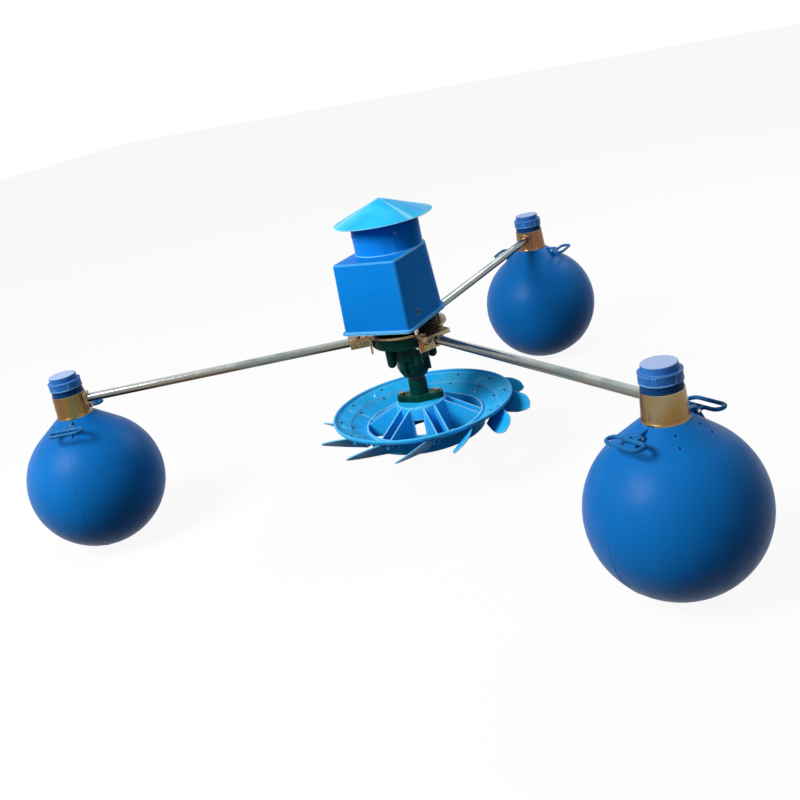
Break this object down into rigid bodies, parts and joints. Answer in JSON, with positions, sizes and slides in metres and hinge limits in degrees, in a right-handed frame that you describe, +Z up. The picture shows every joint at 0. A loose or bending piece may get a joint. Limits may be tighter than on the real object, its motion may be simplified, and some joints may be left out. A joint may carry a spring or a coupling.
{
  "type": "floating pond aerator",
  "caption": "Floating pond aerator: a bladed wheel under a gearbox and covered motor, carried on arms by ball floats with screw caps and hinged rope handles",
  "frame": {"origin": "centre of the output shaft's lower end, where the wheel's pad seats, on the spin axis", "axes": "+Z up along the shaft towards the motor, +Y along one arm to its float, +X to the cover's cable-hole side"},
  "size_m": [2.132, 1.8999, 0.842],
  "materials": {
    "cover_blue": "satin moulded",
    "float_blue": "smooth blow moulded",
    "cap_blue": "moulded",
    "wheel_blue": "moulded",
    "green_iron": "green enamel on cast iron",
    "zinc_steel": "yellow zinc plated",
    "bright_steel": "machined",
    "gear_steel": "machined and oiled",
    "motor_aluminium": "die cast",
    "copper": "lacquered winding wire",
    "black_rubber": "matt",
    "dark_plastic": "moulded"
  },
  "bodies": {
    "frame": {"motor_cover": "cover_blue", "rain_hat": "cover_blue", "hat_brackets": "zinc_steel", "hat_screws": "bright_steel", "cover_studs": "bright_steel", "hub_plate": "zinc_steel", "arm_bracket_1": "zinc_steel", "arm_tube_1": "zinc_steel", "float_collar_1": "zinc_steel", "float_1": "float_blue", "arm_bracket_2": "zinc_steel", "arm_tube_2": "zinc_steel", "float_collar_2": "zinc_steel", "float_2": "float_blue", "arm_bracket_3": "zinc_steel", "arm_tube_3": "zinc_steel", "float_collar_3": "zinc_steel", "float_3": "float_blue", "arm_bolts": "zinc_steel", "collar_bolts": "zinc_steel", "handle_pins": "bright_steel", "gearbox_housing": "green_iron", "gearbox_bolts": "copper", "ring_gear": "gear_steel", "output_bearings": "gear_steel", "shaft_seal": "black_rubber", "motor_frame": "motor_aluminium", "stator_core": "gear_steel", "stator_windings": "copper", "motor_end_shield": "motor_aluminium", "motor_bearings": "gear_steel", "terminal_box": "motor_aluminium", "motor_bolts": "bright_steel"},
    "impeller": {"output_shaft": "gear_steel", "coupling_flange": "green_iron", "coupling_bolts": "zinc_steel", "dust_ring": "black_rubber", "impeller_wheel": "wheel_blue", "impeller_blades": "wheel_blue", "blade_screws": "bright_steel"},
    "rotor": {"rotor_shaft": "gear_steel", "rotor_core": "gear_steel", "cooling_fan": "dark_plastic", "sun_pinion": "gear_steel"},
    "planet_1": {"planet_gear_1": "gear_steel"},
    "planet_2": {"planet_gear_2": "gear_steel"},
    "planet_3": {"planet_gear_3": "gear_steel"},
    "cap_1_seal": {"cap_seal_1": "black_rubber"},
    "cap_1": {"float_cap_1": "cap_blue"},
    "handle_1a": {"rope_handle_1a": "cap_blue"},
    "handle_1b": {"rope_handle_1b": "cap_blue"},
    "cap_2_seal": {"cap_seal_2": "black_rubber"},
    "cap_2": {"float_cap_2": "cap_blue"},
    "handle_2a": {"rope_handle_2a": "cap_blue"},
    "handle_2b": {"rope_handle_2b": "cap_blue"},
    "cap_3_seal": {"cap_seal_3": "black_rubber"},
    "cap_3": {"float_cap_3": "cap_blue"},
    "handle_3a": {"rope_handle_3a": "cap_blue"},
    "handle_3b": {"rope_handle_3b": "cap_blue"}
  },
  "joints": [
    {"name": "impeller_spin", "type": "hinge", "parent": "frame", "child": "impeller", "pos_m": [0, 0, 0.12], "axis": [0, 0, 1], "continuous": true},
    {"name": "rotor_spin", "type": "hinge", "parent": "frame", "child": "rotor", "pos_m": [0, 0, 0.33], "axis": [0, 0, 1], "continuous": true},
    {"name": "planet_1_spin", "type": "hinge", "parent": "impeller", "child": "planet_1", "pos_m": [0, 0.036, 0.201], "axis": [0, 0, 1], "continuous": true},
    {"name": "planet_2_spin", "type": "hinge", "parent": "impeller", "child": "planet_2", "pos_m": [-0.03118, -0.018, 0.201], "axis": [0, 0, 1], "continuous": true},
    {"name": "planet_3_spin", "type": "hinge", "parent": "impeller", "child": "planet_3", "pos_m": [0.03118, -0.018, 0.201], "axis": [0, 0, 1], "continuous": true},
    {"name": "cap_1_lift", "type": "slide", "parent": "frame", "child": "cap_1_seal", "axis": [0, 0, 1], "range_m": [0, 0.015]},
    {"name": "cap_1_turn", "type": "hinge", "parent": "cap_1_seal", "child": "cap_1", "pos_m": [0, 1, 0.27], "axis": [0, 0, 1], "range_deg": [0, 900]},
    {"name": "handle_1a_swing", "type": "hinge", "parent": "frame", "child": "handle_1a", "pos_m": [-0.082, 1, 0.158], "axis": [0, 1, 0], "range_deg": [-15, 100]},
    {"name": "handle_1b_swing", "type": "hinge", "parent": "frame", "child": "handle_1b", "pos_m": [0.082, 1, 0.158], "axis": [0, -1, 0], "range_deg": [-15, 100]},
    {"name": "cap_2_lift", "type": "slide", "parent": "frame", "child": "cap_2_seal", "axis": [0, 0, 1], "range_m": [0, 0.015]},
    {"name": "cap_2_turn", "type": "hinge", "parent": "cap_2_seal", "child": "cap_2", "pos_m": [-0.86603, -0.5, 0.27], "axis": [0, 0, 1], "range_deg": [0, 900]},
    {"name": "handle_2a_swing", "type": "hinge", "parent": "frame", "child": "handle_2a", "pos_m": [-0.82503, -0.57101, 0.158], "axis": [-0.866, -0.5, 0], "range_deg": [-15, 100]},
    {"name": "handle_2b_swing", "type": "hinge", "parent": "frame", "child": "handle_2b", "pos_m": [-0.90702, -0.42899, 0.158], "axis": [0.866, 0.5, 0], "range_deg": [-15, 100]},
    {"name": "cap_3_lift", "type": "slide", "parent": "frame", "child": "cap_3_seal", "axis": [0, 0, 1], "range_m": [0, 0.015]},
    {"name": "cap_3_turn", "type": "hinge", "parent": "cap_3_seal", "child": "cap_3", "pos_m": [0.86603, -0.5, 0.27], "axis": [0, 0, 1], "range_deg": [0, 900]},
    {"name": "handle_3a_swing", "type": "hinge", "parent": "frame", "child": "handle_3a", "pos_m": [0.90702, -0.42899, 0.158], "axis": [0.866, -0.5, 0], "range_deg": [-15, 100]},
    {"name": "handle_3b_swing", "type": "hinge", "parent": "frame", "child": "handle_3b", "pos_m": [0.82503, -0.57101, 0.158], "axis": [-0.866, 0.5, 0], "range_deg": [-15, 100]}
  ],
  "couplings": [
    {"joint": "rotor_spin", "follows": "impeller_spin", "ratio": 8},
    {"joint": "planet_1_spin", "follows": "impeller_spin", "ratio": -2.3333},
    {"joint": "planet_2_spin", "follows": "impeller_spin", "ratio": -2.3333},
    {"joint": "planet_3_spin", "follows": "impeller_spin", "ratio": -2.3333},
    {"joint": "cap_1_lift", "follows": "cap_1_turn", "m_per_rad": 0.00095493},
    {"joint": "cap_2_lift", "follows": "cap_2_turn", "m_per_rad": 0.00095493},
    {"joint": "cap_3_lift", "follows": "cap_3_turn", "m_per_rad": 0.00095493}
  ]
}
